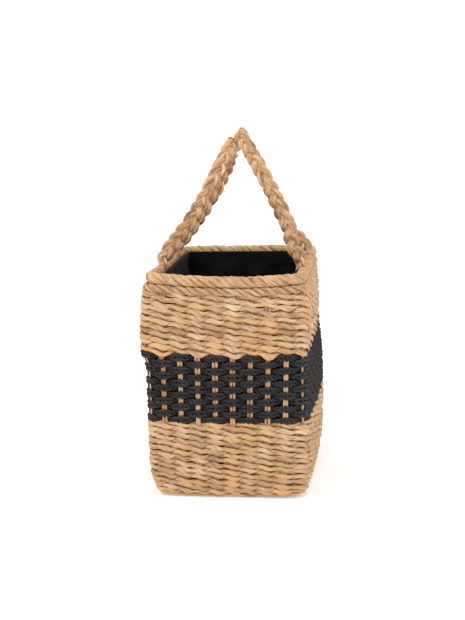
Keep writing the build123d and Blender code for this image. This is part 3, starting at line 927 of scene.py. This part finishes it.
for side, label, crown_x, crown_z, bow, turn, stoop, tip in (
    (-1, "left_handle", -0.0035, 0.4565, 0.0090, 0.0, 0.0, 0.0),
    (1, "right_handle", 0.0050, 0.4690, 0.0020, 0.11, -0.0045, 0.40),
):
    line, share = handle_line(side, crown_x, crown_z, bow, turn, stoop)
    for number, letter in enumerate("abc"):
        seed = 500 + 50 * side + 10 * number
        plait(f"{label}_strand_{letter}", number, line, share, seed, tip)
    tails(label + "_roots", side, 700 + side)


# ---------------------------------------------------------------- liner
# A loose bag of black cotton: one long strip sewn into a tube, a flat bottom panel, and a
# doubled hem with a row of stitches that holds it behind the border. The slack cloth falls
# in soft slanting folds.
THREAD_SCALE = 330.0
THREAD_HEIGHT = 0.00006


def cloth_material(name, dark, light, sheen):
    """Woven cotton: the product of two crossed waves in the cloth's own lengths gives the
    threads, and a slow noise mixes the dark and light colours in faint patches."""
    made = bpy.data.materials.new(name)
    made.use_nodes = True
    tree = made.node_tree
    new = tree.nodes.new
    shader = tree.nodes["Principled BSDF"]
    uv = new("ShaderNodeUVMap")
    uv.uv_map = "strand_uv"
    threads = []
    for direction in ("X", "Y"):
        wave = new("ShaderNodeTexWave")
        wave.bands_direction = direction
        wave.inputs["Scale"].default_value = THREAD_SCALE
        wave.inputs["Distortion"].default_value = 0.6
        link(tree, uv.outputs["UV"], wave.inputs["Vector"])
        threads.append(wave.outputs["Fac"])
    weave = new("ShaderNodeMath")
    weave.operation = "MULTIPLY"
    link(tree, threads[0], weave.inputs[0])
    link(tree, threads[1], weave.inputs[1])
    bumped = new("ShaderNodeBump")
    bumped.inputs["Distance"].default_value = THREAD_HEIGHT
    link(tree, weave.outputs[0], bumped.inputs["Height"])
    link(tree, bumped.outputs["Normal"], shader.inputs["Normal"])
    patch_noise = noise(tree, new("ShaderNodeTexCoord").outputs["Object"], 14.0)
    ramp = new("ShaderNodeMapRange")
    ramp.inputs["From Min"].default_value = 0.35
    ramp.inputs["From Max"].default_value = 0.75
    link(tree, patch_noise, ramp.inputs["Value"])
    mixed = new("ShaderNodeMix")
    mixed.data_type = "RGBA"
    mixed.inputs["A"].default_value = (*dark, 1)
    mixed.inputs["B"].default_value = (*light, 1)
    link(tree, ramp.outputs[0], mixed.inputs["Factor"])
    link(tree, mixed.outputs["Result"], shader.inputs["Base Color"])
    shader.inputs["Roughness"].default_value = 0.95
    shader.inputs["Specular IOR Level"].default_value = 0.15
    shader.inputs["Sheen Weight"].default_value = sheen
    shader.inputs["Sheen Roughness"].default_value = 0.6
    return made


cotton = cloth_material("black_cotton", (0.0032, 0.0032, 0.0036), (0.0052, 0.0055, 0.0062), 0.02)
hem_cotton = cloth_material("hem_cotton", (0.0034, 0.0036, 0.0042), (0.0056, 0.0062, 0.0072), 0.02)
thread_black = cloth_material("thread_black", (0.010, 0.010, 0.011), (0.018, 0.018, 0.020), 0.0)


def grid_piece(name, points, lengths, heights, material, thickness, wrap):
    """A sheet from a grid of points, rows along the first axis, that wraps round or not; its
    UVs are lengths in metres. A solidify modifier gives the cloth its thickness."""
    rows, columns = points.shape[:2]
    spans = columns if wrap else columns - 1
    i, j = np.meshgrid(np.arange(rows - 1), np.arange(spans), indexing="ij")
    i, j = i.ravel(), j.ravel()
    beside = (j + 1) % columns
    above = i + 1
    faces = np.stack([
        i * columns + j, i * columns + beside, above * columns + beside, above * columns + j,
    ], -1)
    across = np.append(lengths, 2 * lengths[-1] - lengths[-2])
    uv = np.stack([
        np.stack([across[j], heights[i]], -1), np.stack([across[j + 1], heights[i]], -1),
        np.stack([across[j + 1], heights[above]], -1), np.stack([across[j], heights[above]], -1),
    ], 1)
    tones = np.zeros(rows * columns)
    obj = piece(name, [(points.reshape(-1, 3), faces, uv, tones)], material)
    made = obj.modifiers.new("thickness", "SOLIDIFY")
    made.thickness = thickness
    made.offset = 0.0
    return obj


AROUND = 420
FOLD_WAVES = 7
CORNER_FREE = 0.014
CORNER_FADE = 0.035


def tube(name, low, high, rows, depth, material, thickness, slack=0.0, tuck=0.0, seed=0):
    """A closed strip of cloth that hangs inside the wall from high to low. Slack pushes it
    inwards by a sum of slanting sine folds, fading by smooth steps to none at its two edges
    and in the corners; tuck draws its lowest few millimetres in to the seam."""
    rng = np.random.default_rng(seed)
    place = np.arange(AROUND) / AROUND * STAKES
    z = np.linspace(low, high, rows)[:, None]
    run = (z - low) / (high - low)
    folds = 0.0
    for _ in range(FOLD_WAVES):
        folds_round = rng.integers(7, 30)
        slant = rng.uniform(-14, 14)
        folds = folds + rng.uniform(0.5, 1.0) * np.sin(
            2 * np.pi * folds_round * place / STAKES + slant * run + rng.uniform(0, 6)
        ) / FOLD_WAVES ** 0.5
    half_way = np.mod(place * SPACING, 2 * QUARTER)
    from_corner = np.minimum(
        np.abs(half_way - STRAIGHT_X - BEND * 0.8),
        np.abs(2 * QUARTER - half_way - STRAIGHT_X - BEND * 0.8),
    )
    flat = smooth((from_corner - CORNER_FREE) / CORNER_FADE)
    swell = smooth((1 - run) * 7) * smooth(run * 8)
    inward = slack * flat * swell * (0.75 + folds) + tuck * smooth(1 - run * 22)
    points, out = wall_point(place, z + 0 * place, depth + 0 * place + 0 * z)
    points = points - inward[..., None] * out
    lengths = place * SPACING
    return grid_piece(name, points, lengths, z[:, 0], material, thickness, True)


CLOTH = 0.0008
HEM_THICK = 0.0011
LINER_DEPTH = 0.0186
LINER_SLACK = 0.0075
LINER_TUCK = 0.0034
HEM_DEPTH = 0.0200
low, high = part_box("liner_side")
hem_low, hem_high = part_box("liner_hem")
liner = tube(
    "liner_side_cloth", low[2] + 0.0004, high[2], 46, LINER_DEPTH, cotton, CLOTH,
    slack=LINER_SLACK, tuck=LINER_TUCK, seed=11,
)
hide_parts("liner_side")

hem = tube(
    "liner_hem_band", hem_low[2], hem_high[2] + 0.0006, 8, HEM_DEPTH, hem_cotton, HEM_THICK
)
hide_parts("liner_hem")

# The bottom panel: a flat grid raised by a product of two sines and by a third sine, fading
# to none at its edge.
PANEL_GAP = 0.0004
PANEL_LIFT = 0.0007
base_low, base_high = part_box("liner_base")
half_x, half_y = base_high[0] - PANEL_GAP, base_high[1] - PANEL_GAP
gx, gy = np.meshgrid(np.linspace(-1, 1, 60), np.linspace(-1, 1, 110))
edge = np.maximum(np.abs(gx), np.abs(gy))
crossed = 0.0008 * np.sin(gx * 7 + 2 * gy) * np.sin(gy * 11 - gx)
wrinkle = crossed + 0.0006 * np.sin(gx * 13 + gy * 9)
wrinkle = (wrinkle + 0.0012) * smooth((1 - edge) * 8)
panel = np.stack([gx * half_x, gy * half_y, base_low[2] + PANEL_LIFT + wrinkle], -1)
lining = grid_piece(
    "liner_base_cloth", panel, gx[0] * half_x, gy[:, 0] * half_y, cotton, CLOTH, False
)
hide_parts("liner_base")


STITCH_GAP = 0.011
STITCH_HALF = 0.0026
STITCH_DEPTH = 0.0204
STITCH_BOW = 0.0007


def stitches():
    """Short bars of thread in a row on the hem, one every eleven millimetres, dipping into
    the cloth at both ends as a half sine."""
    z_mid = (hem_low[2] + hem_high[2]) / 2
    count = int(4 * QUARTER / STITCH_GAP)
    parts = []
    for k in range(count):
        middle = (k + 0.5) * STAKES / count
        place = middle + np.linspace(-STITCH_HALF, STITCH_HALF, 7) / SPACING
        bow = np.sin(np.linspace(0, np.pi, 7))
        points, out = wall_point(place, z_mid + 0 * place, STITCH_DEPTH + STITCH_BOW * bow)
        parts.append(strand(points, out, 0.0004, 0.0003, 0.0, sides=6, closed=False))
    return parts


thread = piece("liner_stitch_thread", stitches(), thread_black)
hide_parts("liner_stitches")

# ---------------------------------------------------------------- loose fibres
# Hand-worked seagrass sheds: a few dry fibre ends stand out of the border, each a thin bent
# hair caught between its strands.
FIBRE_LOW_Z = 0.286
FIBRE_HIGH_Z = 0.292
FIBRE_DEPTH = 0.0045
FIBRE_TONE = 3.5


def loose_fibres(count, seed):
    """Hairs that start on the border, two on the near end and the others at random places
    on the other three sides, and curve up and out: a straight line plus a square-law
    bend."""
    rng = np.random.default_rng(seed)
    parts = []
    places = rng.uniform(5, STAKES - 5, count)
    places[:2] = [STAKES - 1.62, STAKES - 1.80]
    for place in places:
        z = rng.uniform(FIBRE_LOW_Z, FIBRE_HIGH_Z)
        spot, out = wall_point(np.array([place]), np.array([z]), np.array([FIBRE_DEPTH]))
        up = np.array([0, 0, 1.0])
        side = np.cross(up, out[0])
        way = unit(0.5 * rng.normal() * side + rng.uniform(-0.6, 0.5) * out[0] + up)
        bend = 0.4 * rng.normal() * side + 0.4 * out[0] * rng.normal()
        t = np.linspace(0, 1, 7)[:, None] * rng.uniform(0.004, 0.008)
        path = spot[0] + way * t + bend * t * t * 40
        outs = np.tile(out[0], (7, 1))
        parts.append(strand(path, outs, 0.00022, 0.00016, FIBRE_TONE, sides=6, closed=False))
    return parts


fibres = piece("loose_fibres", loose_fibres(26, 5), border_grass)
